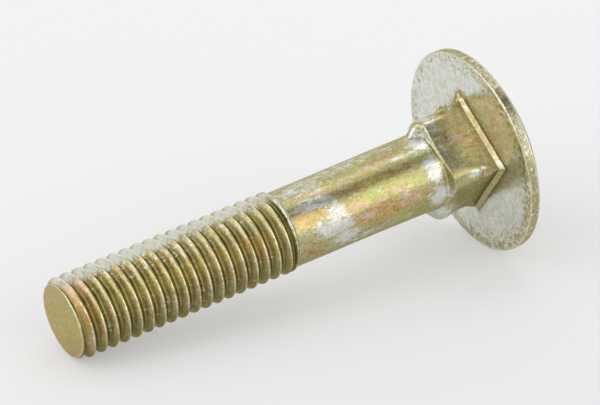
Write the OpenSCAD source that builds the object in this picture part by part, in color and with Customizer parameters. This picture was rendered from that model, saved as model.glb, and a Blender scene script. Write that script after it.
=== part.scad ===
// Carriage bolt: mushroom head, square neck, reduced shank and a metric end,
// lying at rest on its head's rim and the first crest of its thread.
// Millimetres, +Z up, +X from the tip towards the head.

/* [Length] */
// Length under the head, from the tip to the head's underside
bolt_len = 44.8; // [35:0.5:120]

/* [Threaded end] */
// Major diameter of the thread
thread_d = 8; // [6:0.5:12]
// Length of the full thread, tip chamfer included
thread_len = 22.4; // [8:0.2:28]
// Length of the run-out, from the last full crest down to the shank
runout_len = 0.7; // [0.3:0.1:2]
// Depth of the chamfer around the tip's flat face
tip_chamfer_depth = 0.5; // [0.2:0.1:1]
// Length of the chamfer at the tip
tip_chamfer_len = 0.7; // [0.3:0.1:1.5]

/* [Shank] */
// How much thinner than the thread the shank is, where it leaves the thread
shank_relief = 0.6; // [0.2:0.1:1]
// How much the shank swells between the thread and the neck
shank_swell = 0.2; // [0.1:0.05:0.3]

/* [Square neck] */
// Height of the neck's flats above the end of the shank
neck_step = 0.2; // [0.1:0.05:0.8]
// Length of the neck, measured from the head's underside
neck_len = 5.4; // [3:0.1:8]
// Length over which the corners grow out of the shank
neck_lead_len = 0.9; // [0.4:0.1:1.5]
// How much the round takes off the neck's width across its sharp corners
neck_corner_trim = 1.1; // [0.4:0.1:1.6]
// Leg of the bevel between the flats and the head
neck_root_leg = 0.4; // [0.2:0.05:0.8]
// Length over which the corners sharpen towards the head
neck_flare_len = 1.8; // [1:0.1:2]
// Turn of the square about the bolt's axis, from flat side down
neck_turn = 39.5; // [0:0.5:89.5]

/* [Head] */
// Head diameter
head_d = 20.3; // [15:0.1:26]
// Head height, from the underside to the top of the dome
head_h = 4.1; // [3:0.1:7]
// Height of the rim, from the underside to where the dome begins
rim_h = 0.95; // [0.6:0.05:2.4]
// Radius of the rim's lower edge
rim_edge_r = 0.25; // [0.1:0.05:0.5]

/* [Hidden] */
$fn = 96;
steel = "darkkhaki";
sink = 1;                         // how far the neck runs into the shank and the head
flare_margin = 0.3;               // radius by which the flare clears the neck's sharp root corner
seam_turn = 45;                   // keeps the seam of the round surfaces off the side that the bolt lies on

thread_r = thread_d / 2;
tip_flat_r = thread_r - tip_chamfer_depth;
head_r = head_d / 2;
dome_h = head_h - rim_h;
dome_r = (head_r * head_r + dome_h * dome_h) / (2 * dome_h);
dome_centre = bolt_len + head_h - dome_r;
shank_r = thread_r - shank_relief / 2;
shank_neck_r = shank_r + shank_swell / 2;
neck_w = 2 * (shank_neck_r + neck_step);
neck_start = bolt_len - neck_len;
neck_corner_r = (neck_w * sqrt(2) - neck_corner_trim) / 2;
lead_slope = neck_lead_len / (neck_corner_r - shank_neck_r); // length per unit of radius
root_w = neck_w + 2 * neck_root_leg;
flare_r = root_w * sqrt(2) / 2 + flare_margin;
bearing_r = head_r - rim_edge_r;  // outer radius of the flat underside

// The bolt rests on the first full crest and on the round of the rim's lower edge: the floor
// is the line through that crest and tangent to that round.
edge_run = bolt_len + rim_edge_r - tip_chamfer_len;
edge_drop = bearing_r - thread_r;
lean = atan2(edge_drop, edge_run) + asin(rim_edge_r / norm([edge_run, edge_drop]));
tip_height = thread_r * cos(lean) - tip_chamfer_len * sin(lean);
x_low = min(-tip_flat_r * sin(lean), tip_chamfer_len * cos(lean) - thread_r * sin(lean));
x_high = dome_centre * cos(lean) + dome_r;

// Everything below is drawn along +Z, with the tip's flat face at z = 0.

// Half outline of what is round: chamfer, thread at its major diameter, run-out, tapered shank
// and the core that carries it through the neck into the head
module shaft_outline() {
    polygon([
        [0, 0], [tip_flat_r, 0], [thread_r, tip_chamfer_len],
        [thread_r, thread_len], [shank_r, thread_len + runout_len],
        [shank_neck_r, neck_start], [shank_neck_r, bolt_len + sink], [0, bolt_len + sink]
    ]);
}

// Half outline of the head: a rim with a rounded lower edge, and a dome
module head_outline() {
    translate([0, bolt_len]) {
        square([bearing_r, rim_h]);
        translate([0, rim_edge_r]) square([head_r, rim_h - rim_edge_r]);
        translate([bearing_r, rim_edge_r]) circle(r = rim_edge_r);
    }
    intersection() {
        translate([0, dome_centre]) circle(r = dome_r, $fn = 180);
        translate([0, bolt_len + rim_edge_r]) square([head_r, head_h]);
    }
}

// Threaded end, shank and head, in one turn about the axis
module shaft_and_head() {
    rotate([0, 0, seam_turn])
        rotate_extrude() {
            shaft_outline();
            head_outline();
        }
}

// One pair of flats with the bevel at its root, as long as the neck is wide
module neck_flats() {
    half_w = neck_w / 2;
    half_root = root_w / 2;
    translate([0, half_root, 0])
        rotate([90, 0, 0])
            linear_extrude(root_w)
                polygon([
                    [-half_w, neck_start - sink], [half_w, neck_start - sink],
                    [half_w, bolt_len - neck_root_leg], [half_root, bolt_len],
                    [half_root, bolt_len + sink], [-half_root, bolt_len + sink],
                    [-half_root, bolt_len], [-half_w, bolt_len - neck_root_leg]
                ]);
}

// What the die leaves of the corners: a lead-in cone, a round, and a flare down to the head
module neck_round() {
    rotate_extrude()
        polygon([
            [0, neck_start - sink * lead_slope], [shank_neck_r - sink, neck_start - sink * lead_slope],
            [neck_corner_r, neck_start + neck_lead_len],
            [neck_corner_r, bolt_len - neck_flare_len],
            [flare_r, bolt_len], [flare_r, bolt_len + sink], [0, bolt_len + sink]
        ]);
}

// Square neck with rounded corner lobes
module square_neck() {
    rotate([0, 0, neck_turn])
        intersection() {
            neck_flats();
            rotate([0, 0, 90]) neck_flats();
            neck_round();
        }
}

// The whole forging, one solid, laid down at rest with its box centred over the origin
module bolt() {
    color(steel)
        translate([-(x_low + x_high) / 2, 0, tip_height])
            rotate([0, 90 - lean, 0])
                union() {
                    shaft_and_head();
                    square_neck();
                }
}

bolt();
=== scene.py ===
import math

import bpy
import numpy as np
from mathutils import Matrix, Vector


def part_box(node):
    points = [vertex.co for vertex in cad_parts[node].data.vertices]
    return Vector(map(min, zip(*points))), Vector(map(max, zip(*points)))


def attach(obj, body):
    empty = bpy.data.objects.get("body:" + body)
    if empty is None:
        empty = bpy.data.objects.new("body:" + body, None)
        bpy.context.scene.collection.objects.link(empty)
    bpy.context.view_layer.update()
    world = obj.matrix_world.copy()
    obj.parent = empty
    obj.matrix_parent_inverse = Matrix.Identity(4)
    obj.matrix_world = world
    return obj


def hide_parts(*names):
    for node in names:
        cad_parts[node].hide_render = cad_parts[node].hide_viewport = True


bl_info = {
    "name": "Carriage bolt maker",
    "version": (1, 0, 0),
    "blender": (4, 5, 0),
    "location": "View3D > Sidebar > Bolt",
    "description": "Forged and rolled carriage bolt with a worn yellow passivated zinc finish",
    "category": "Add Mesh",
}

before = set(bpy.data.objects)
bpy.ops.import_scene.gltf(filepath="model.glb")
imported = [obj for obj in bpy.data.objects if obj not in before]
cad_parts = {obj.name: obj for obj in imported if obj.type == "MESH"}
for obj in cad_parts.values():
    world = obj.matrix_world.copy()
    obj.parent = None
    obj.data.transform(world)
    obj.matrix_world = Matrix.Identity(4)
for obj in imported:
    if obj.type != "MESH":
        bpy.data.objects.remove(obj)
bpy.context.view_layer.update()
LOW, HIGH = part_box("bolt")

MM = 0.001
TAU = 2 * math.pi

# One turn of the thread, from root to root: distance from the crest in pitches, share of the depth
THREAD_TURN = [(-0.500, 1.00), (-0.452, 0.98), (-0.405, 0.925), (-0.355, 0.82), (-0.235, 0.49),
               (-0.108, 0.13), (-0.072, 0.045), (-0.030, 0.0), (0.030, 0.0), (0.072, 0.045),
               (0.108, 0.13), (0.235, 0.49), (0.355, 0.82), (0.405, 0.925), (0.452, 0.98)]
THREAD_LOW = 0.08 * MM  # the thread's rows are held between this height and THREAD_HIGH past its full length
THREAD_HIGH = 0.55 * MM

# Rings of the grid: shares of a radius, distances in mm, or shares of an angle
TIP_RINGS = (0.16, 0.4, 0.62, 0.8, 0.92, 0.975)
SHOULDER_RINGS = (0.55, 0.62, 0.70, 0.78, 0.86, 0.95, 1.1)
SHANK_RINGS = 18
NECK_END_RINGS = 33
NECK_FLAT_RINGS = 22
NECK_ROOT_RINGS = (0.44, 0.40, 0.36, 0.3, 0.22, 0.14, 0.07, 0.03, 0.0)
UNDERSIDE_RINGS = (0.015, 0.04, 0.08, 0.14, 0.21, 0.29, 0.38, 0.47, 0.56, 0.65, 0.74, 0.83, 0.91, 0.96, 1.0)
RIM_EDGE_DEGREES = (18, 36, 54, 72, 90)
RIM_RINGS = (0.25, 0.5, 0.75, 0.9)
DOME_RINGS = (0.997, 0.985, 0.96, 0.93, 0.88, 0.82, 0.75, 0.67, 0.58, 0.49, 0.40, 0.31, 0.22, 0.13, 0.05)
COLUMN_CROWDING = 0.55

# The neck's corners that slope at the shank end. Turn from the low side and half width (degrees), start of
# the slope before the neck (mm), length of the slope (mm), share of the slope against the upright wall
CORNERS = [(84.5, 16, 0.5, 0.9, 1.0), (171, 12, 1.0, 1.0, 1.0), (348, 24, 0.95, 1.25, 1.0)]
WALL_LAG = 0.30 * MM  # the upright wall starts this far past the neck's start
WALL_SLOPE = 5.5  # rise of the wall over its length
FLARE_GAIN = 1.45 * MM  # growth of the corner radius at the head
TORN_CORNER = 171  # turn of the corner whose end is blended most softly (degrees)

# Lumps and dents left on the neck by the forging dies: place along the bolt (mm), turn (degrees), half
# length and half width (mm), height (mm)
LUMPS = [(40.3, 338, 1.0, 1.1, 0.46), (44.55, 171, 0.26, 0.5, 0.80), (42.8, 168, 0.26, 0.30, 0.55),
         (43.35, 167.5, 0.18, 0.25, 0.36), (42.3, 169.5, 0.18, 0.25, 0.32), (43.25, 265, 0.4, 0.35, -0.16),
         (42.6, 262, 0.25, 0.2, 0.05), (40.9, 264.5, 1.5, 0.8, -0.26)]

# The ridge in front of the neck drifts towards the head over these turns (radians)
RIDGE_LEAVES = (3.7, 4.45)
RIDGE_RETURNS = (6.2, 5.8)
RIDGE_DRIFT = 0.5 * MM

# Soft panels round the bolt: azimuth, elevation, half angle and soft edge (degrees), strength added to the
# sky's
PANELS = [(25, 14, 20, 26, 0.85), (-88, 24, 22, 25, 0.9), (112, 72, 5, 14, 0.9), (42, 58, 10, 16, -0.42),
          (155, 20, 30, 30, 0.25)]

# Waves of the dome's patches: direction (radians), pitch (mm), shift (radians)
DOME_WAVES = ((0.4, 2.9, 0.3), (1.7, 3.7, 1.9), (2.6, 4.9, 4.1), (3.3, 2.3, 5.2))
DOME_STRETCH = 1.6

SIDE_RUBBED = 172  # turns that part of the finish is centred on (degrees)
HEAD_WORN = 125
RIM_CHIPPED = 222
# turn of the painted highlight along the bolt's upper side
TOP_HIGHLIGHTED = 164
TIP_BLUSH = 60

GRAIN_DARK = (0.76, 0.76, 0.73)
GRAIN_CALM = (0.93, 0.93, 0.92)
WHITE = (1.0, 1.0, 1.0)
DRAWN_OUT = (0.45, 1, 1)  # patterns are stretched along the bolt
PATTERN_SHIFT = (31, 17, 5)  # mm to the second copy of the patterns
JITTER = (0.4, 0.4, 0.4)
# painted shade: the floor's tint is darker near the camera
FLOOR_FADE = (-0.06, 0.05)  # metres along Y over which the floor grows lighter
FLOOR_NEAR = 0.93


# ---------------------------------------------------------------- sizes and colours

def length(name, text, value):
    """A size in metres whose default is given in millimetres."""
    return bpy.props.FloatProperty(name=name, description=text, default=value * MM, min=0, unit="LENGTH",
                                   precision=5)


def angle(name, text, degrees):
    """A turn in radians whose default is given in degrees."""
    return bpy.props.FloatProperty(name=name, description=text, default=math.radians(degrees),
                                   unit="ROTATION")


def share(name, text, value, top=1.0):
    """A plain number from nought up."""
    return bpy.props.FloatProperty(name=name, description=text, default=value, min=0, max=top)


def count(name, text, value):
    """A whole number of rows or columns."""
    return bpy.props.IntProperty(name=name, description=text, default=value, min=4)


def colour(name, text, value):
    """A linear colour."""
    return bpy.props.FloatVectorProperty(name=name, description=text, default=value, size=3, min=0, max=1,
                                         subtype="COLOR")


class BoltSizes(bpy.types.PropertyGroup):
    """Sizes of the bolt"""
    bolt_len: length("Bolt length", "Tip to underside of the head", 44.8)
    thread_d: length("Thread diameter", "Across the crests", 8)
    thread_len: length("Thread length", "Tip to the end of the full thread", 22.4)
    thread_pitch: length("Pitch", "One turn of the thread", 1.2375)
    thread_depth: length("Thread depth", "Crest to root", 0.57)
    thread_start: length("Thread start", "Place of the first crest on the low side", 0.12)
    runout_len: length("Run-out", "Full thread to bare shank", 0.7)
    tip_chamfer_depth: length("Tip chamfer depth", "Taken off the radius at the tip", 0.5)
    tip_chamfer_len: length("Tip chamfer length", "Along the bolt", 0.7)
    shank_relief: length("Shank relief", "Thread diameter less shank diameter", 0.6)
    shank_swell: length("Shank swell", "Gain in shank diameter towards the neck", 0.2)
    neck_step: length("Neck step", "Height of the neck's flats over the shank", 0.2)
    neck_len: length("Neck length", "Square neck, to the head", 5.4)
    neck_corner_trim: length("Neck corner trim", "Off the square's diagonal at the rounded corners", 1.1)
    neck_root_leg: length("Neck root bevel", "Leg of the bevel where the neck meets the head", 0.4)
    neck_flare_len: length("Neck flare", "Length over which the corners grow sharp at the head", 1.8)
    neck_turn: angle("Neck turn", "Turn of the square about the bolt's axis", 39.5)
    head_d: length("Head diameter", "Across the rim", 20.3)
    head_h: length("Head height", "Underside to the top of the dome", 4.1)
    rim_h: length("Rim height", "Plain rim below the dome", 0.95)
    rim_edge_r: length("Rim edge radius", "Rounded edge of the underside", 0.25)
    columns: count("Columns", "Grid columns round the bolt, a multiple of four", 224)


class BoltFinish(bpy.types.PropertyGroup):
    """Colours of the worn passivated zinc, and of the painted highlight and shade laid on it"""
    zinc: colour("Zinc", "Bare rubbed zinc", (0.84, 0.86, 0.84))
    dull_zinc: colour("Dull zinc", "Bare zinc that has dulled", (0.68, 0.69, 0.61))
    film: colour("Film", "Even passivated film", (0.50, 0.45, 0.19))
    pale_film: colour("Pale film", "Thinnest film", (0.60, 0.60, 0.45))
    deep_film: colour("Deep film", "Film a little thicker than even", (0.42, 0.39, 0.17))
    gold: colour("Gold", "Thicker film", (0.52, 0.43, 0.14))
    tan_film: colour("Tan film", "Film past gold", (0.43, 0.35, 0.16))
    straw_film: colour("Straw film", "Film that turns pale again", (0.60, 0.57, 0.36))
    amber: colour("Amber", "Gold patches of the film", (0.70, 0.47, 0.15))
    # thicker film and painted shade: this dark colour fills the thread's grooves
    groove_film_and_shade: colour("Olive", "Film in hollows", (0.27, 0.24, 0.08))
    brown: colour("Brown", "Thickest film", (0.47, 0.27, 0.08))
    rose: colour("Rose", "Pink tint of the film", (0.70, 0.46, 0.33))
    green: colour("Green", "Green tint of the film", (0.49, 0.54, 0.12))
    dull: colour("Dull", "Mottling of the thread", (0.35, 0.30, 0.15))
    # painted shade: this dark colour lies in the creases round the neck's root, and it also colours dark
    # flakes on the chipped rim
    crease_shade_and_flakes: colour("Crease", "Film in the creases round the neck", (0.20, 0.14, 0.04))
    tip_gold: colour("Tip gold", "Flat of the tip", (0.50, 0.41, 0.14))
    tip_rose: colour("Tip rose", "Blush on the flat of the tip", (0.58, 0.37, 0.19))
    speck: colour("Speck", "Flecks of film left on bare zinc", (0.36, 0.33, 0.16))
    # partly rubbed wear and partly painted highlight: this pale colour lines the crests and edges
    worn: colour("Worn", "Rubbed edges and crests", (0.82, 0.77, 0.50))
    # painted highlight: a pale colour laid along the thread's upper side, where the top light falls
    top_highlight: colour("Veil", "Pale bloom along the upper side", (0.88, 0.89, 0.81))
    # painted shade: this colour is multiplied into the bolt's lower side
    lower_side_shade: colour("Dusk", "Multiplied into the shaded side", (0.72, 0.68, 0.58))


class StageSetup(bpy.types.PropertyGroup):
    """Floor, light and camera"""
    floor_size: bpy.props.FloatProperty(name="Floor size", description="Side of the square floor",
                                        default=3, unit="LENGTH")
    floor_tint: colour("Floor tint", "Colour of the floor", (0.575, 0.578, 0.58))
    floor_glow: share("Floor glow", "Light through the translucent floor", 0.55)
    camera_turn: angle("Camera turn", "Azimuth that the camera looks from", -31.861)
    camera_rise: angle("Camera rise", "Elevation that the camera looks from", 25.258)
    camera_far: length("Camera distance", "Camera to target", 329.924)
    camera_lens: bpy.props.FloatProperty(name="Lens", description="Focal length in millimetres",
                                         default=212.553, unit="CAMERA")
    target_x: bpy.props.FloatProperty(name="Target X", description="Point looked at",
                                      default=1.2170 * MM, unit="LENGTH")
    target_z: length("Target Z", "Point looked at", 9.4211)
    sky: bpy.props.FloatProperty(name="Sky", description="Strength of the surrounding light", default=0.72)


# ---------------------------------------------------------------- numpy helpers

def smooth(low, high, x):
    """Smoothstep: nought below low, one above high, three t squared less two t cubed between."""
    t = np.clip((x - low) / (high - low), 0, 1)
    return t * t * (3 - 2 * t)


def soft_min(a, b, width):
    """Smaller of a and b, rounded where they cross: their mean, less half the root of the squared gap plus
    width squared."""
    return 0.5 * (a + b - np.sqrt((a - b) ** 2 + width ** 2))


def soft_max(a, b, width):
    """Larger of a and b, rounded where they cross."""
    return -soft_min(-a, -b, width)


def ripple(z, phi, seed, turns, waves, terms=12):
    """Smooth wander from about -1 to 1: a sum of sines, whole turns round the bolt and up to waves radians a
    metre along it."""
    rng = np.random.default_rng(seed)
    total = 0
    for _ in range(terms):
        round_it = rng.integers(0, turns + 1)
        along = rng.uniform(-waves, waves)
        total = total + np.sin(round_it * phi + along * z + rng.uniform(0, TAU))
    return total / math.sqrt(terms) * 0.8


def gap(phi, centre):
    """Signed angle from centre to phi, from minus to plus half a turn."""
    return (phi - centre + math.pi) % TAU - math.pi


def bell(phi, degrees, half_width):
    """Bell round the bolt: e to the minus square of the turn from degrees over half_width in radians."""
    return np.exp(-(gap(phi, math.radians(degrees)) / half_width) ** 2)


# ---------------------------------------------------------------- bolt shape

class Shape:
    """Radii of the bolt about its own axis, z running from the tip (0) to the head."""

    def __init__(self, s):
        self.s = s
        self.thread_r = s.thread_d / 2
        self.head_r = s.head_d / 2
        self.shank_r = self.thread_r - s.shank_relief / 2
        self.shank_neck_r = self.shank_r + s.shank_swell / 2
        self.neck_half = self.shank_neck_r + s.neck_step
        self.root_half = self.neck_half + s.neck_root_leg
        self.corner_r = (2 * self.neck_half * math.sqrt(2) - s.neck_corner_trim) / 2
        self.neck_start = s.bolt_len - s.neck_len
        self.bearing_r = self.head_r - s.rim_edge_r
        dome_h = s.head_h - s.rim_h
        self.dome_r = (self.head_r ** 2 + dome_h ** 2) / (2 * dome_h)
        self.dome_centre = s.bolt_len + s.head_h - self.dome_r
        self.corner = s.neck_turn + math.radians(45)
        run = s.bolt_len + s.rim_edge_r - s.tip_chamfer_len
        drop = self.bearing_r - self.thread_r
        self.lean = math.atan2(drop, run) + math.asin(s.rim_edge_r / math.hypot(run, drop))
        self.tip_flat_r = self.thread_r - s.tip_chamfer_depth
        sin, cos = math.sin(self.lean), math.cos(self.lean)
        tip_height = self.thread_r * cos - s.tip_chamfer_len * sin
        x_low = min(-self.tip_flat_r * sin, s.tip_chamfer_len * cos - self.thread_r * sin)
        x_high = self.dome_centre * cos + self.dome_r
        self.origin = np.array([-(x_low + x_high) / 2, 0, tip_height])
        self.axis = np.array([cos, 0, sin])
        self.down = np.array([sin, 0, -cos])
        self.side = np.array([0, 1, 0])

    def place(self, z, phi, r):
        """Point of the row frame: along the axis by z, out by r, phi turning from the low side to +Y."""
        z, phi, r = (v[..., None] for v in np.broadcast_arrays(z, phi, r))
        return self.origin + self.axis * z + r * (np.cos(phi) * self.down + np.sin(phi) * self.side)

    def columns(self):
        """Angles of the columns, closest together at the neck's four corners: t less a share of sin 4t."""
        t = np.arange(self.s.columns) * TAU / self.s.columns
        return self.corner + t - COLUMN_CROWDING / 4 * np.sin(4 * t)

    def off_flat(self, phi):
        """Angle from phi to the middle of the nearest flat of the neck."""
        quarter = TAU / 4
        off = gap(phi, self.s.neck_turn) % quarter
        return np.minimum(off, quarter - off)

    def outer(self, z):
        """Radius that the thread is cut into: chamfered tip, crests, and the shoulder down to the shank."""
        s = self.s
        chamfer = self.thread_r - s.tip_chamfer_depth * (1 - z / s.tip_chamfer_len)
        body = soft_min(chamfer, self.thread_r + 0 * z, 0.06 * MM)
        shoulder = s.thread_len + 0.55 * s.runout_len
        return body - (s.shank_relief / 2) * smooth(shoulder, shoulder + 0.6 * s.runout_len, z)

    def shank(self, z, phi):
        """Plain shank, growing a little towards the neck."""
        s = self.s
        t = np.clip((z - s.thread_len) / (self.neck_start - s.thread_len), 0, 1)
        wander = 0.02 * MM * ripple(z, phi, 11, 3, 500)
        return self.shank_r + (self.shank_neck_r - self.shank_r) * t + wander

    def thread(self, z, phi, depth_share):
        """Outer radius less the groove, whose depth fades in at the tip and out at the shoulder."""
        s = self.s
        fade_in = smooth(0.08 * MM, 0.30 * MM, z)
        fade = fade_in * (1 - smooth(s.thread_len + 0.1 * MM, s.thread_len + 0.5 * MM, z))
        cut = self.thread_r - s.thread_depth * depth_share - 0.012 * MM * (1 + ripple(z, phi, 5, 6, 2500))
        outer = self.outer(z)
        worn = outer - 0.004 * MM * (1 + ripple(z, phi, 6, 9, 6000))
        return outer + fade * (np.minimum(worn, cut) - outer)

    def neck(self, z, phi):
        """Square neck over the shank. The flats' distance over the cosine of the turn is capped by the corner
        radius, which flares at the head. Lumps are added, and an upright wall or a corner's slope cuts the
        shank end."""
        s = self.s
        bevel = np.clip(z - (s.bolt_len - s.neck_root_leg), 0, None)
        flat = (self.neck_half + bevel) / np.cos(self.off_flat(phi))
        climb = self.shank_neck_r + (z - self.neck_start - WALL_LAG) * WALL_SLOPE
        rise = self.corner_r - self.shank_neck_r
        for turn, wide, begin, slope, part in CORNERS:
            near = part * np.exp(-(gap(phi, math.radians(turn)) / math.radians(wide)) ** 4)
            ramp = self.shank_neck_r + (z - self.neck_start + begin * MM) * rise / (slope * MM)
            climb = climb + near * (np.minimum(ramp, 2 * self.corner_r) - climb)
        grown = np.clip((z - s.bolt_len + s.neck_flare_len) / s.neck_flare_len, 0, 1) ** 1.6
        body = soft_min(flat, self.corner_r + FLARE_GAIN * grown, 0.22 * MM)
        for at, turn, long, wide, height in LUMPS:
            away = ((z / MM - at) / long) ** 2 + (gap(phi, math.radians(turn)) * body / MM / wide) ** 2
            body = body + height * MM * np.exp(-away)
        body = soft_min(body, climb, (0.10 + 0.25 * bell(phi, TORN_CORNER, 0.25)) * MM)
        body = body + 0.02 * MM * ripple(z, phi, 21, 5, 900)
        return soft_max(body, self.shank_end(z, phi), 0.03 * MM)

    def shank_end(self, z, phi):
        """Shank up to the neck, ending in a small ridge and then a groove in front of the flats."""
        turn = phi % TAU
        drift = RIDGE_DRIFT * smooth(*RIDGE_LEAVES, turn) * smooth(*RIDGE_RETURNS, turn)
        ridge = self.neck_start - 0.05 * MM + drift
        end = self.shank(z, phi) + 0.035 * MM * np.exp(-((z - ridge) / (0.10 * MM)) ** 2)
        return end - 0.12 * MM * smooth(ridge + 0.05 * MM, ridge + 0.18 * MM, z)


def bolt_rows(shape):
    """Grid of the whole bolt as rows of (z, r) over the columns, from the tip to the dome, without the poles.
    Ring rows have one z all round. Between them the thread's rows climb one pitch a turn and are held back at
    both ends."""
    s = shape.s
    phi = shape.columns()
    rows_z, rows_r, marks = [], [], []

    def ring(z, r):
        """Adds a row at height z and radius r, each a number or one value a column, with no groove mark."""
        rows_z.append(np.broadcast_to(np.asarray(z, float), phi.shape).copy())
        rows_r.append(np.broadcast_to(np.asarray(r, float), phi.shape).copy())
        marks.append(np.zeros(phi.shape))

    flat_r = shape.tip_flat_r
    for r in np.array(TIP_RINGS) * flat_r:
        ring(0.012 * MM * (r / flat_r) ** 2 * (1 + ripple(r, phi, 31, 3, 3000)), r)
    ring(0.012 * MM, flat_r)
    ring(0.04 * MM, flat_r + 0.05 * MM)
    ring(THREAD_LOW, shape.outer(np.array(THREAD_LOW)))
    first_helix = len(rows_z)

    thread_high = s.thread_len + THREAD_HIGH
    climb = s.thread_pitch * (phi - shape.corner) / TAU
    base = s.thread_start + s.thread_pitch * shape.corner / TAU
    turns = np.arange(math.floor((THREAD_LOW - base) / s.thread_pitch) - 1,
                      math.ceil((thread_high - base) / s.thread_pitch) + 1)
    for k in turns:
        for along, deep in THREAD_TURN:
            z = base + (k + along) * s.thread_pitch + climb
            z = np.clip(z, THREAD_LOW, thread_high)
            rows_z.append(z)
            rows_r.append(shape.thread(z, phi, deep))
            marks.append(np.full(phi.shape, deep))
    last_helix = len(rows_z)

    for z in np.array(SHOULDER_RINGS) * MM + s.thread_len:
        ring(z, soft_max(shape.outer(z + 0 * phi), shape.shank(z + 0 * phi, phi), 0.02 * MM))
    for z in np.linspace(s.thread_len + 1.5 * MM, shape.neck_start - 1.3 * MM, SHANK_RINGS):
        ring(z, shape.shank(z + 0 * phi, phi))
    flats = np.linspace(shape.neck_start + 0.95 * MM, s.bolt_len - 0.55 * MM, NECK_FLAT_RINGS)
    neck_z = np.concatenate([np.linspace(-1.15, 0.75, NECK_END_RINGS) * MM + shape.neck_start, flats,
                             s.bolt_len - np.array(NECK_ROOT_RINGS) * MM])
    for z in neck_z:
        ring(z, shape.neck(z + 0 * phi, phi))
    root = rows_r[-1].copy()
    for t in np.array(UNDERSIDE_RINGS):
        unevenness = 0.02 * MM * ripple(root * t, phi, 41, 3, 400) * t
        ring(s.bolt_len + unevenness, root + (shape.bearing_r - root) * t)
    for a in np.radians(RIM_EDGE_DEGREES):
        ring(s.bolt_len + s.rim_edge_r * (1 - math.cos(a)), shape.bearing_r + s.rim_edge_r * math.sin(a))
    for t in RIM_RINGS:
        ring(s.bolt_len + s.rim_edge_r + t * (s.rim_h - s.rim_edge_r),
             shape.head_r - 0.02 * MM * (1 + ripple(t * MM, phi, 43, 9, 3000)) / 2)
    edge = math.asin(shape.head_r / shape.dome_r)
    for a in edge * np.array(DOME_RINGS):
        ring(shape.dome_centre + shape.dome_r * math.cos(a), shape.dome_r * math.sin(a))
    return phi, np.array(rows_z), np.array(rows_r), np.array(marks), first_helix, last_helix


def forge(shape):
    """Points, faces and point marks of the closed bolt. Triangles join neighbouring rows and columns. At the
    seam, a thread row is joined to the row one turn further on. Thread rows held back at an end share the
    ring that they are held at, and triangles that this flattens are left out."""
    phi, z, r, deep, first, last = bolt_rows(shape)
    rows, cols = z.shape
    number = np.arange(rows * cols).reshape(rows, cols)
    low_ring, high_ring = first - 1, last
    helix_z = z[first:last]
    number[first:last] = np.where(helix_z <= z[low_ring] + 1e-9, number[low_ring], number[first:last])
    number[first:last] = np.where(helix_z >= z[high_ring] - 1e-9, number[high_ring], number[first:last])

    after = np.empty_like(number)  # the same row one column on, closing the seam
    after[:, :-1] = number[:, 1:]
    row = np.arange(rows)
    in_helix = (row >= first) & (row < last)
    joined = np.where(in_helix, np.minimum(row + len(THREAD_TURN), last), row)
    after[:, -1] = number[joined, 0]

    quads = np.stack([number[:-1], after[:-1], after[1:], number[1:]], -1).reshape(-1, 4)
    tip_pole, dome_pole = rows * cols, rows * cols + 1
    here = np.arange(cols)
    ring_on = np.roll(here, -1)
    tip_fan = np.stack([np.full(cols, tip_pole), ring_on, here], -1)
    top = (rows - 1) * cols
    dome_fan = np.stack([np.full(cols, dome_pole), top + here, top + ring_on], -1)
    triangles = np.concatenate([quads[:, [0, 1, 2]], quads[:, [0, 2, 3]], tip_fan, dome_fan])
    flattened = ((triangles[:, 0] == triangles[:, 1]) | (triangles[:, 1] == triangles[:, 2])
                 | (triangles[:, 2] == triangles[:, 0]))
    triangles = triangles[~flattened]

    bolt_top = shape.s.bolt_len + shape.s.head_h
    points = shape.place(z, phi[None, :] + 0 * z, r).reshape(-1, 3)
    poles = np.stack([shape.origin, shape.origin + shape.axis * bolt_top])
    points = np.concatenate([points, poles])
    used, renumbered = np.unique(triangles, return_inverse=True)
    along = np.concatenate([z.ravel(), [0, bolt_top]])
    turn = np.concatenate([np.broadcast_to(phi, z.shape).ravel(), [0, 0]])
    radius = np.concatenate([r.ravel(), [0, 0]])
    groove = np.concatenate([deep.ravel(), [0, 0]])
    return points[used], renumbered.reshape(-1, 3), along[used], turn[used], radius[used], groove[used]


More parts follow.
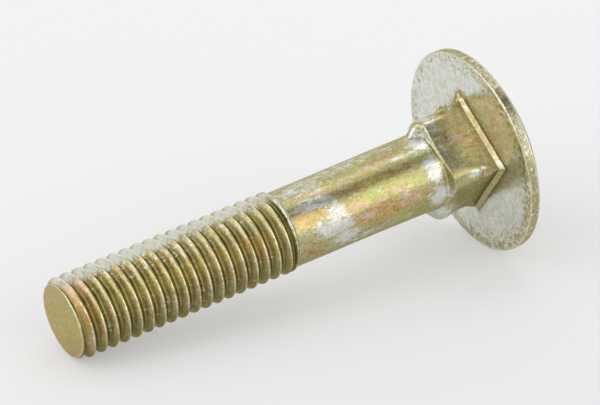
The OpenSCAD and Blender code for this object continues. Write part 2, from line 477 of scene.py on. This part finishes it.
# Spots of the finish: what it does, place along the bolt (mm), turn from the low side (degrees), half length
# along (mm), half width round (mm), strength
SPOTS = [
    # shank
    ("bare", 26.0, 220, 1.9, 0.55, 0.95), ("bare", 25.6, 184, 2.6, 1.2, 0.62),
    ("bare", 27.8, 242, 0.75, 0.9, 0.95), ("bare", 27.2, 264, 1.8, 0.9, 0.9),
    ("bare", 28.3, 287, 1.5, 0.8, 0.92), ("bare", 38.7, 240, 0.75, 1.3, 0.95),
    ("bare", 38.9, 284, 1.1, 1.3, 0.95), ("bare", 38.7, 190, 1.2, 1.4, 0.9),
    ("bare", 25.7, 252, 0.7, 0.4, 0.7), ("bare", 31.0, 300, 5.0, 0.5, 0.55),
    ("bare", 30.0, 172, 6.0, 0.9, 0.55), ("bare", 36.6, 205, 2.0, 0.22, 0.7),
    ("bare", 30.0, 20, 4.0, 2.5, 0.7), ("bare", 34.0, 90, 4.0, 2.5, 0.65),
    ("bare", 26.0, 120, 2.0, 2.0, 0.7), ("gold", 24.2, 238, 0.9, 0.9, 1.0),
    ("gold", 29.3, 250, 1.0, 0.6, 0.6), ("gold", 25.9, 238, 1.1, 0.6, 0.7),
    ("lime", 31.6, 241, 1.6, 0.55, 0.85), ("lime", 33.0, 234, 1.1, 0.5, 0.8),
    ("lime", 36.5, 247, 1.3, 0.35, 0.85), ("lime", 31.5, 188, 1.4, 0.5, 0.55),
    ("lime", 34.6, 290, 1.4, 0.7, 0.7), ("lime", 30.0, 60, 3.0, 1.5, 0.6),
    ("rose", 30.2, 248, 0.9, 0.45, 0.7), ("rose", 30.9, 267, 0.9, 0.45, 0.9),
    ("rose", 34.4, 245, 1.0, 0.4, 0.6), ("rose", 33.5, 200, 1.8, 0.3, 0.6),
    ("rose", 26.6, 206, 1.2, 0.3, 0.6), ("rose", 35.5, 266, 1.6, 0.5, 0.6),
    ("brown", 32.3, 268, 2.8, 0.9, 0.85), ("brown", 24.0, 222, 0.7, 0.45, 0.8),
    # the brown spot at 32.5 mm and 224 degrees is painted shade along a dark band of the shank
    ("brown", 32.5, 224, 4.4, 0.5, 0.72), ("lime", 32.2, 222, 2.0, 0.35, 0.6),
    ("lime", 37.4, 216, 1.2, 0.5, 0.55), ("brown", 34.5, 196, 2.4, 0.35, 0.7),
    ("brown", 25.0, 196, 0.9, 0.4, 0.7), ("brown", 27.8, 214, 0.8, 0.5, 0.7),
    ("brown", 24.3, 290, 1.0, 0.7, 0.6), ("brown", 33.0, 130, 3.0, 1.2, 0.6),
    ("brown", 29.0, 330, 2.5, 1.0, 0.6), ("bare", 22.95, 205, 0.22, 4.5, 1.0),
    ("gold", 33.0, 243, 4.5, 0.7, 0.46), ("gold", 32.5, 272, 4.5, 1.0, 0.42),
    ("brown", 35.0, 275, 2.4, 0.9, 0.5), ("lime", 34.0, 238, 3.5, 0.5, 0.45),
    # square neck
    ("brown", 42.6, 209, 0.7, 1.0, 0.6), ("brown", 43.4, 226, 0.8, 1.4, 0.6),
    ("brown", 41.4, 205, 0.5, 0.6, 0.7), ("brown", 43.3, 262, 0.5, 0.5, 0.8),
    ("bare", 40.6, 190, 0.7, 1.0, 0.5), ("bare", 42.3, 262, 0.8, 0.35, 1.0),
    ("bare", 40.3, 225, 0.5, 2.2, 0.4), ("bare", 40.6, 340, 1.2, 1.6, 0.8),
    ("bare", 40.8, 168, 1.2, 1.0, 0.8), ("lime", 41.2, 228, 0.9, 1.0, 0.3),
    ("brown", 42.3, 179, 0.4, 0.5, 0.9), ("rose", 41.8, 216, 0.5, 0.5, 0.35),
    # the crease spots at 43.8 mm and 42.55 mm are painted shadow beside the corner's burr
    ("bare", 41.3, 200, 1.2, 2.0, 0.22), ("crease_shade_and_flakes", 43.8, 166.5, 0.75, 0.22, 0.9),
    ("crease_shade_and_flakes", 42.55, 168, 0.3, 0.2, 0.7), ("bare", 39.6, 335, 1.2, 1.5, 0.9),
    ("brown", 43.5, 222, 0.9, 3.0, 0.45), ("rose", 42.0, 208, 0.5, 0.6, 0.5),
    ("brown", 42.0, 214, 0.7, 0.8, 0.7), ("brown", 44.2, 175, 0.6, 0.8, 0.8),
    ("gold", 42.5, 214, 1.6, 2.6, 0.2), ("brown", 44.62, 222, 0.22, 2.0, 0.5),
    ("bare", 44.62, 181, 0.2, 0.7, 0.45), ("bare", 44.62, 258, 0.2, 0.7, 0.45),
    # the crease spot at 44.62 mm is painted shade along the foot of the neck's bevel
    ("gold", 44.62, 219, 0.3, 3.6, 0.4), ("crease_shade_and_flakes", 44.62, 221, 0.3, 2.6, 0.26),
    # thread and tip
    ("brown", 1.4, 200, 0.7, 1.8, 1.0), ("brown", 1.3, 245, 0.5, 1.0, 1.0),
    ("rose", 1.6, 200, 0.6, 1.2, 0.8), ("brown", 2.2, 262, 0.5, 1.2, 0.85),
    ("rose", 1.0, 290, 0.5, 1.2, 0.7), ("brown", 6.2, 226, 0.5, 0.8, 0.6),
    ("brown", 9.4, 214, 0.8, 1.0, 0.8), ("brown", 12.0, 240, 0.8, 1.2, 0.6),
    ("brown", 15.3, 262, 0.8, 1.0, 0.7), ("brown", 19.5, 255, 0.8, 1.2, 0.8),
    ("bare", 8.0, 166, 6.5, 1.5, 0.85), ("bare", 17.0, 166, 5.0, 1.2, 0.7),
    ("lime", 10.0, 228, 6.0, 0.8, 0.3), ("bare", 10.0, 200, 8.0, 1.6, 0.22),
    ("bare", 12.0, 285, 9.0, 1.6, 0.2), ("brown", 0.55, 235, 0.3, 3.2, 0.95),
    ("rose", 0.65, 188, 0.5, 1.4, 0.95), ("brown", 0.8, 212, 0.4, 1.2, 0.9),
    ("brown", 8.0, 207, 7.0, 0.8, 0.5), ("brown", 12.0, 268, 8.0, 0.9, 0.5),
    ("brown", 18.0, 235, 4.0, 0.8, 0.45), ("gold", 11.0, 240, 9.0, 1.2, 0.36),
]


def dome_patches(phi, r):
    """Patches of bare zinc on the dome: a sum of sines across it, and a bell at its crown."""
    side_x, side_y = r * np.cos(phi), r * np.sin(phi)
    rubbed = np.zeros_like(r)
    for turn, pitch, shift in DOME_WAVES:
        across = side_x * math.cos(turn) + side_y * math.sin(turn)
        rubbed = rubbed + np.sin(across / MM * TAU / pitch / DOME_STRETCH + shift)
    crown = np.exp(-(r / (3.2 * MM)) ** 2)
    return -0.02 + 0.13 * rubbed + 0.30 * crown


def neck_root_shade_mask(shape, z, phi, r, under):
    """Painted shade round the neck's root, under the head: it fades out over the underside and back along the
    flats, and fills the bevel between them."""
    s = shape.s
    foot = shape.root_half / np.cos(shape.off_flat(phi))
    crease_shade_and_flakes = np.where(under & (r > foot - 0.02 * MM), np.exp(-(r - foot) / (0.42 * MM)), 0)
    strip = s.bolt_len - s.neck_root_leg
    crease_shade_and_flakes = np.maximum(crease_shade_and_flakes, 0.8 * np.exp(-((z - strip + 0.08 * MM) / (0.07 * MM)) ** 2))
    shade = 0.55 * np.exp(-np.clip(strip - z, 0, None) / (0.75 * MM))
    crease_shade_and_flakes = np.maximum(crease_shade_and_flakes, shade * (z > shape.neck_start) * (z < strip))
    return np.where(under & (r < foot + 0.05 * MM), 1.0, crease_shade_and_flakes)


def edge_wear_and_highlight_mask(shape, z, r, crest):
    """Rubbed edges, lightened further as painted highlight: the thread's crests, and bells round the rim's
    two edges and the tip's edge.
    """
    s = shape.s
    edge = crest
    for at, out, width in ((s.bolt_len + 0.07 * MM, shape.bearing_r + 0.16 * MM, 0.09 * MM),
                           (s.bolt_len + s.rim_h, shape.head_r, 0.14 * MM),
                           (0.03 * MM, shape.tip_flat_r + 0.03 * MM, 0.05 * MM)):
        edge = np.maximum(edge, 0.85 * np.exp(-((z - at) ** 2 + (r - out) ** 2) / width ** 2))
    return edge


def finish_marks(shape, z, phi, r, groove):
    """Point masks of the finish and of the painted highlight and shade on it. Each spot is a flat-topped bell
    in place and turn, and the strongest one counts. Edge, hollow and the zones come from the bolt's own
    sizes."""
    s = shape.s
    masks = {kind: np.zeros_like(z) for kind in ("bare", "gold", "lime", "rose", "brown", "speck", "crease_shade_and_flakes")}
    masks["bare"] += -0.36 + 0.46 * bell(phi, SIDE_RUBBED, 0.5)
    masks["speck"] += 0.1
    body = z < s.bolt_len - 0.05 * MM
    for kind, along, turn, half_len, half_wide, strength in SPOTS:
        round_it = gap(phi, math.radians(turn)) * r / MM
        reach = ((z / MM - along) / half_len) ** 2 + (round_it / half_wide) ** 2
        masks[kind] = np.maximum(masks[kind], strength * np.exp(-reach ** 1.5 * 0.7) * body)

    in_thread = (z > 0.2 * MM) & (z < s.thread_len + 0.4 * MM) & (r > shape.thread_r - 0.85 * MM)
    crest = np.where(in_thread, 0.85 * smooth(0.13, 0.0, groove), 0)
    crest = crest * (0.75 + 0.25 * ripple(z, phi, 61, 9, 4000))
    hollow = np.where(in_thread, smooth(0.35, 1.0, groove), 0)

    head = z > s.bolt_len - 0.05 * MM
    under = head & (z < s.bolt_len + 0.02 * MM)
    rim_side = head & (r > shape.bearing_r) & ~under
    dome = head & ~under & ~rim_side
    worn_side = bell(phi, HEAD_WORN, 0.95)
    outward = smooth(7.4 * MM, 9.6 * MM, r)
    chipped = bell(phi, RIM_CHIPPED, 0.55)
    masks["bare"] = np.where(under, 1.35 - (0.80 - 0.32 * worn_side) * outward, masks["bare"])
    masks["bare"] = np.where(rim_side, 0.34, masks["bare"])
    masks["bare"] = np.where(dome, dome_patches(phi, r), masks["bare"])
    masks["bare"] = np.where(rim_side, masks["bare"] + 0.22 * chipped, masks["bare"])
    masks["speck"] = np.where(under, 0.17 + (0.24 - 0.1 * worn_side) * outward, masks["speck"])
    masks["speck"] = np.where(rim_side, 0.50, masks["speck"])
    flakes = ripple(z, phi, 71, 160, 9000) > 0.35
    masks["crease_shade_and_flakes"] = np.where(rim_side, 0.75 * chipped * flakes, masks["crease_shade_and_flakes"])
    # painted shade round the neck's root; the rim's dark flakes above are real marks
    root_shade = neck_root_shade_mask(shape, z, phi, r, under) * (z > shape.neck_start) * ~rim_side
    masks["crease_shade_and_flakes"] = np.maximum(masks["crease_shade_and_flakes"], root_shade)

    tip = smooth(0.10 * MM, 0.05 * MM, z)
    blush = smooth(2.0 * MM, 3.3 * MM, r) * (0.5 + 0.5 * np.cos(phi - math.radians(TIP_BLUSH)))
    masks["rose"] = np.where(z < 0.1 * MM, blush, masks["rose"])
    masks["bare"] = masks["bare"] * (1 - tip)
    masks["brown"] = masks["brown"] * (1 - tip)
    masks["brown"] = np.where(under, 0.30, masks["brown"])
    neck = smooth(shape.neck_start + 0.2 * MM, shape.neck_start + 0.6 * MM, z) * body
    above = bell(phi, TOP_HIGHLIGHTED, 0.40)
    masks["tip"] = tip
    masks["thread"] = in_thread * 1.0
    masks["calm"] = np.maximum(np.maximum(tip, under * 1.0), np.maximum(neck * 0.6, in_thread * 0.55))
    # painted highlight along the thread's upper side, weaker in the grooves
    masks["top_highlight"] = np.where(in_thread, -0.04 + 0.88 * above - 0.25 * hollow, 0.08)
    # painted shade on the bolt's lower side, below the neck and strongest on the thread
    masks["lower_side_shade"] = smooth(4.45, 5.4, phi % TAU) * (z < shape.neck_start) * (0.2 + 0.8 * in_thread)
    masks["edge"] = edge_wear_and_highlight_mask(shape, z, r, crest)
    masks["hollow"] = hollow
    return masks


# ---------------------------------------------------------------- material

def new_group(name, inputs, outputs):
    """Empty shader node group with the given sockets."""
    group = bpy.data.node_groups.new(name, "ShaderNodeTree")
    kinds = {"value": "NodeSocketFloat", "vector": "NodeSocketVector"}
    for label, kind, value in inputs:
        socket = group.interface.new_socket(label, in_out="INPUT", socket_type=kinds[kind])
        if value is not None:
            socket.default_value = value
    for label, kind in outputs:
        group.interface.new_socket(label, in_out="OUTPUT", socket_type=kinds[kind])
    return group, group.nodes.new("NodeGroupInput"), group.nodes.new("NodeGroupOutput")


class Net:
    """Short hand for adding and joining nodes."""

    def __init__(self, tree):
        self.tree = tree

    def add(self, kind, **values):
        """New node of a kind, with the given settings."""
        node = self.tree.nodes.new(kind)
        for key, value in values.items():
            setattr(node, key, value)
        return node

    def join(self, source, target):
        """Links one socket to another."""
        self.tree.links.new(source, target)

    def feed(self, socket, value):
        """Links a socket, or sets it where the value is a plain one."""
        if isinstance(value, bpy.types.NodeSocket):
            self.join(value, socket)
        else:
            socket.default_value = value

    def feed_colour(self, socket, value):
        """Links a colour socket, or sets it from three numbers."""
        self.feed(socket, value if isinstance(value, bpy.types.NodeSocket) else (*value, 1))

    def math(self, operation, a, b):
        """Result of one operation on two values."""
        node = self.add("ShaderNodeMath", operation=operation)
        self.feed(node.inputs[0], a)
        self.feed(node.inputs[1], b)
        return node.outputs[0]

    def mix(self, share_in, a, b, blend="MIX"):
        """Colour a turned towards colour b by a share."""
        node = self.add("ShaderNodeMix", data_type="RGBA", blend_type=blend)
        self.feed(node.inputs[0], share_in)
        self.feed_colour(node.inputs[6], a)
        self.feed_colour(node.inputs[7], b)
        return node.outputs[2]

    def step(self, value, low, high, out_low=0.0, out_high=1.0):
        """Smooth step of a value from low to high, giving out_low to out_high."""
        node = self.add("ShaderNodeMapRange", interpolation_type="SMOOTHSTEP")
        self.feed(node.inputs[0], value)
        for k, v in enumerate((low, high, out_low, out_high)):
            self.feed(node.inputs[k + 1], v)
        return node.outputs[0]

    def noise(self, vector, scale, detail=3.0, rough=0.55, warp=0.0):
        """Noise value at a place."""
        node = self.add("ShaderNodeTexNoise")
        self.join(vector, node.inputs["Vector"])
        node.inputs["Scale"].default_value = scale
        node.inputs["Detail"].default_value = detail
        node.inputs["Roughness"].default_value = rough
        node.inputs["Distortion"].default_value = warp
        return node.outputs[0]

    def attribute(self, name):
        """Value of a point mask."""
        return self.add("ShaderNodeAttribute", attribute_name=name).outputs["Fac"]

    def mapped(self, vector, **values):
        """Vector put through a Mapping node with the given inputs."""
        node = self.add("ShaderNodeMapping")
        for key, value in values.items():
            node.inputs[key].default_value = value
        self.join(vector, node.inputs["Vector"])
        return node.outputs[0]


def patchy_group():
    """Broken-edged mask: an amount plus centred noise, put through a smooth step about one half."""
    group, inside, outside = new_group(
        "broken_edge",
        [("Vector", "vector", None), ("Amount", "value", 0.5), ("Scale", "value", 1.0),
         ("Breakup", "value", 1.0), ("Softness", "value", 0.1)],
        [("Mask", "value")])
    net = Net(group)
    noise = net.noise(inside.outputs["Vector"], scale=1.0, detail=4, rough=0.62, warp=0.6)
    net.join(inside.outputs["Scale"], noise.node.inputs["Scale"])
    swing = net.math("MULTIPLY", net.math("SUBTRACT", noise, 0.5), inside.outputs["Breakup"])
    value = net.math("ADD", inside.outputs["Amount"], swing)
    low = net.math("SUBTRACT", 0.5, inside.outputs["Softness"])
    high = net.math("ADD", 0.5, inside.outputs["Softness"])
    net.join(net.step(value, low, high), outside.inputs["Mask"])
    return group


def film_ramp(net, finish, tone):
    """Colour of the film as its thickness wanders."""
    ramp = net.add("ShaderNodeValToRGB")
    stops = ((0.30, finish.pale_film), (0.42, finish.film), (0.50, finish.deep_film), (0.57, finish.gold),
             (0.63, finish.tan_film), (0.72, finish.straw_film))
    while len(ramp.color_ramp.elements) < len(stops):
        ramp.color_ramp.elements.new(0.5)
    for element, (at, value) in zip(ramp.color_ramp.elements, stops):
        element.position = at
        element.color = (*value, 1)
    net.join(tone, ramp.inputs[0])
    return ramp.outputs[0]


def zinc_material(finish, lean):
    """Yellow passivated zinc, worn: one film whose colour wanders, rubbed bare and given a painted highlight
    on edges, dark in hollows from thicker film and painted shade, with painted shade round the neck's root
    and on the lower side, and a painted highlight along the upper side.
    """
    material = bpy.data.materials.new("passivated_zinc")
    material.use_nodes = True
    tree = material.node_tree
    net = Net(tree)
    shader = tree.nodes["Principled BSDF"]
    patchy = patchy_group()

    def mask(vector, amount, scale, breakup, softness):
        """Broken-edged mask of an amount."""
        node = net.add("ShaderNodeGroup", node_tree=patchy)
        for label, value in (("Vector", vector), ("Amount", amount), ("Scale", scale), ("Breakup", breakup),
                             ("Softness", softness)):
            net.feed(node.inputs[label], value)
        return node.outputs[0]

    # places in millimetres: level with the bolt, stretched along it, shifted, and jittered
    where = net.add("ShaderNodeTexCoord").outputs["Object"]
    place = net.mapped(where, Rotation=(0, lean, 0), Scale=(1 / MM,) * 3)
    along = net.mapped(place, Scale=DRAWN_OUT)
    elsewhere = net.mapped(along, Location=PATTERN_SHIFT)
    ragged = net.add("ShaderNodeVectorMath", operation="MULTIPLY_ADD")
    jitter = net.add("ShaderNodeTexNoise")
    net.join(place, jitter.inputs["Vector"])
    jitter.inputs["Scale"].default_value = 3.5
    net.join(jitter.outputs["Color"], ragged.inputs[0])
    ragged.inputs[1].default_value = JITTER
    net.join(along, ragged.inputs[2])
    drifted = ragged.outputs[0]

    edge, hollow, speck = (net.attribute(name) for name in ("edge", "hollow", "speck"))
    crease_shade_and_flakes, rose, calm = (net.attribute(name) for name in ("crease_shade_and_flakes", "rose", "calm"))
    fine = net.noise(place, scale=5.0, detail=4, rough=0.65)

    # the film
    film = film_ramp(net, finish, net.noise(along, scale=1.15, detail=8, rough=0.74, warp=0.2))
    dull = net.step(net.noise(elsewhere, scale=0.9, detail=6, rough=0.72), 0.44, 0.60, 0.15, 0.85)
    film = net.mix(net.math("MULTIPLY", dull, net.attribute("thread")), film, finish.dull)
    browned = mask(elsewhere, net.attribute("brown"), scale=2.6, breakup=2.6, softness=0.35)
    film = net.mix(browned, film, finish.brown)
    gilded = mask(along, net.attribute("gold"), scale=3.0, breakup=2.6, softness=0.35)
    film = net.mix(gilded, film, finish.amber)
    greened = mask(along, net.attribute("lime"), scale=3.2, breakup=2.8, softness=0.4)
    film = net.mix(greened, film, finish.green)
    blushed = mask(elsewhere, rose, scale=3.4, breakup=2.8, softness=0.4)
    film = net.mix(blushed, film, finish.rose)
    # thicker film and painted shade darken the thread's grooves
    film = net.mix(net.math("MULTIPLY", hollow, 0.8), film, finish.groove_film_and_shade)
    # painted shade in the neck's creases, and dark flakes on the chipped rim
    film = net.mix(crease_shade_and_flakes, film, finish.crease_shade_and_flakes)
    film = net.mix(net.attribute("tip"), film, net.mix(rose, finish.tip_gold, finish.tip_rose))

    # where it is rubbed bare, flecked, worn and given a painted highlight at edges, given a painted highlight
    # along the upper side, and given painted shade on the lower side
    bare = mask(drifted, net.attribute("bare"), scale=3.0, breakup=2.7, softness=0.28)
    mottle = net.step(net.noise(elsewhere, scale=2.2, detail=3), 0.35, 0.65)
    bare_tint = net.mix(mottle, finish.zinc, finish.dull_zinc)
    base = net.mix(net.math("MULTIPLY", bare, net.math("SUBTRACT", 1.0, crease_shade_and_flakes)), film, bare_tint)
    base = net.mix(mask(place, speck, scale=2.3, breakup=1.9, softness=0.1), base, finish.speck)
    # rubbed wear and painted highlight along the crests and edges
    base = net.mix(mask(elsewhere, edge, scale=2.8, breakup=1.5, softness=0.3), base, finish.worn)
    # painted highlight: the thread's upper side is turned pale
    top_highlight = mask(place, net.attribute("top_highlight"), scale=3.6, breakup=1.7, softness=0.62)
    base = net.mix(top_highlight, base, finish.top_highlight)
    grain = net.mix(net.step(fine, 0.3, 0.7), net.mix(calm, GRAIN_DARK, GRAIN_CALM), WHITE)
    base = net.mix(1.0, base, grain, "MULTIPLY")
    # painted shade: the lower side's colour is multiplied darker
    base = net.mix(net.attribute("lower_side_shade"), base, net.mix(1.0, base, finish.lower_side_shade, "MULTIPLY"))
    net.join(base, shader.inputs["Base Color"])

    shader.inputs["Metallic"].default_value = 1.0
    shader.inputs["Specular Tint"].default_value = (0.80, 0.76, 0.62, 1)
    rough = net.step(net.noise(elsewhere, scale=1.7, detail=4), 0.3, 0.7, 0.24, 0.36)
    rough = net.math("SUBTRACT", rough, net.math("MULTIPLY", calm, 0.09))
    net.join(net.math("ADD", rough, net.math("MULTIPLY", hollow, 0.12)), shader.inputs["Roughness"])
    bump = net.add("ShaderNodeBump")
    bump.inputs["Strength"].default_value = 0.5
    bump.inputs["Distance"].default_value = 0.035 * MM
    height = net.math("ADD", net.math("MULTIPLY", fine, 0.5), net.noise(elsewhere, scale=3.6, detail=3))
    flattening = net.math("SUBTRACT", 1.0, net.math("MULTIPLY", calm, 0.88))
    net.join(net.math("MULTIPLY", height, flattening), bump.inputs["Height"])
    net.join(bump.outputs[0], shader.inputs["Normal"])
    return material


# ---------------------------------------------------------------- stage parts

def aim(turn, rise):
    """Direction towards an azimuth and elevation in radians; azimuth 0 is towards -Y."""
    return math.sin(turn) * math.cos(rise), -math.cos(turn) * math.cos(rise), math.sin(rise)


def paper_material(setup):
    """Pale floor that grows a little lighter away from the camera, a painted shade gradient, and lets some
    light through.
    """
    paper = bpy.data.materials.new("white_paper")
    paper.use_nodes = True
    shader = paper.node_tree.nodes["Principled BSDF"]
    net = Net(paper.node_tree)
    split = net.add("ShaderNodeSeparateXYZ")
    net.join(net.add("ShaderNodeTexCoord").outputs["Object"], split.inputs[0])
    # painted shade: the floor's tint falls to FLOOR_NEAR of itself near the camera
    fall = net.step(split.outputs["Y"], *FLOOR_FADE)
    tint = net.mix(fall, [FLOOR_NEAR * c for c in setup.floor_tint], list(setup.floor_tint))
    net.join(tint, shader.inputs["Base Color"])
    net.join(tint, shader.inputs["Emission Color"])
    shader.inputs["Emission Strength"].default_value = setup.floor_glow
    shader.inputs["Roughness"].default_value = 0.9
    shader.inputs["Specular IOR Level"].default_value = 0.1
    return paper


def studio_world(setup):
    """White surround whose strength is the sky's plus a soft round panel for each row of PANELS."""
    world = bpy.data.worlds.new("studio")
    world.use_nodes = True
    net = Net(world.node_tree)
    shader = world.node_tree.nodes["Background"]
    shader.inputs["Color"].default_value = (1, 1, 1, 1)
    direction = net.add("ShaderNodeTexCoord").outputs["Generated"]
    total = setup.sky
    for turn, rise, wide, soft, strength in PANELS:
        node = net.add("ShaderNodeVectorMath", operation="DOT_PRODUCT")
        net.join(direction, node.inputs[0])
        node.inputs[1].default_value = aim(math.radians(turn), math.radians(rise))
        outer, inner = math.cos(math.radians(wide + soft)), math.cos(math.radians(wide))
        total = net.math("ADD", net.step(node.outputs["Value"], outer, inner, 0.0, strength), total)
    net.join(total, shader.inputs["Strength"])
    return world


def studio_camera(setup):
    """Camera that looks at the target from its azimuth, elevation and distance."""
    back = Vector(aim(setup.camera_turn, setup.camera_rise))
    data = bpy.data.cameras.new("camera")
    data.sensor_width = 36
    data.lens = setup.camera_lens
    data.clip_start = 0.01
    camera = bpy.data.objects.new("camera", data)
    camera.location = Vector((setup.target_x, 0, setup.target_z)) + setup.camera_far * back
    camera.rotation_euler = back.to_track_quat("Z", "Y").to_euler()
    return camera


# ---------------------------------------------------------------- operators

class FORGE_OT_bolt(bpy.types.Operator):
    """Forge the bolt: one closed body with its thread, square neck and cup head"""
    bl_idname = "carriage.forge_bolt"
    bl_label = "Forge bolt"

    def execute(self, context):
        shape = Shape(context.scene.bolt_sizes)
        points, faces, z, phi, r, groove = forge(shape)
        mesh = bpy.data.meshes.new("carriage_bolt_forging")
        mesh.from_pydata(points.tolist(), [], faces.tolist())
        if mesh.validate():
            raise RuntimeError("the bolt's mesh had faults")
        mesh.polygons.foreach_set("use_smooth", np.ones(len(mesh.polygons), bool))
        for name, values in finish_marks(shape, z, phi, r, groove).items():
            mesh.attributes.new(name, "FLOAT", "POINT").data.foreach_set("value", values.astype(np.float32))
        piece = bpy.data.objects.new("carriage_bolt_forging", mesh)
        context.scene.collection.objects.link(piece)
        mesh.materials.append(zinc_material(context.scene.bolt_finish, shape.lean))
        worst = max(np.abs(points.min(0) - np.array(LOW)).max(), np.abs(points.max(0) - np.array(HIGH)).max())
        print("furthest from the CAD box, mm:", round(worst / MM, 3), "faces", len(faces),
              "points", len(points))
        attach(piece, "root")
        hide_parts("bolt")
        return {"FINISHED"}


class STAGE_OT_studio(bpy.types.Operator):
    """Set the pale floor, the soft light and the camera"""
    bl_idname = "carriage.set_studio"
    bl_label = "Set studio"

    def execute(self, context):
        scene = context.scene
        setup = scene.stage_setup
        half = setup.floor_size / 2
        mesh = bpy.data.meshes.new("floor")
        corners = [(-half, -half, 0), (half, -half, 0), (half, half, 0), (-half, half, 0)]
        mesh.from_pydata(corners, [], [(0, 1, 2, 3)])
        floor = bpy.data.objects.new("floor", mesh)
        scene.collection.objects.link(floor)
        mesh.materials.append(paper_material(setup))
        scene.world = studio_world(setup)
        camera = studio_camera(setup)
        scene.collection.objects.link(camera)
        scene.camera = camera
        scene.view_settings.view_transform = "Standard"
        return {"FINISHED"}


class BOLT_PT_panel(bpy.types.Panel):
    """Lists what the bolt is made of"""
    bl_idname = "BOLT_PT_panel"
    bl_label = "Carriage bolt"
    bl_space_type = "VIEW_3D"
    bl_region_type = "UI"
    bl_category = "Bolt"

    def draw(self, context):
        for group in (context.scene.bolt_sizes, context.scene.bolt_finish, context.scene.stage_setup):
            box = self.layout.box()
            for name in group.__annotations__:
                box.prop(group, name)
        for operator in (FORGE_OT_bolt, STAGE_OT_studio):
            self.layout.operator(operator.bl_idname)


CLASSES = (BoltSizes, BoltFinish, StageSetup, FORGE_OT_bolt, STAGE_OT_studio, BOLT_PT_panel)


def register():
    for cls in CLASSES:
        bpy.utils.register_class(cls)
    bpy.types.Scene.bolt_sizes = bpy.props.PointerProperty(type=BoltSizes)
    bpy.types.Scene.bolt_finish = bpy.props.PointerProperty(type=BoltFinish)
    bpy.types.Scene.stage_setup = bpy.props.PointerProperty(type=StageSetup)


def unregister():
    del bpy.types.Scene.bolt_sizes, bpy.types.Scene.bolt_finish, bpy.types.Scene.stage_setup
    for cls in reversed(CLASSES):
        bpy.utils.unregister_class(cls)


def main():
    register()
    bpy.ops.carriage.set_studio()
    bpy.ops.carriage.forge_bolt()


if __name__ == "__main__":
    main()
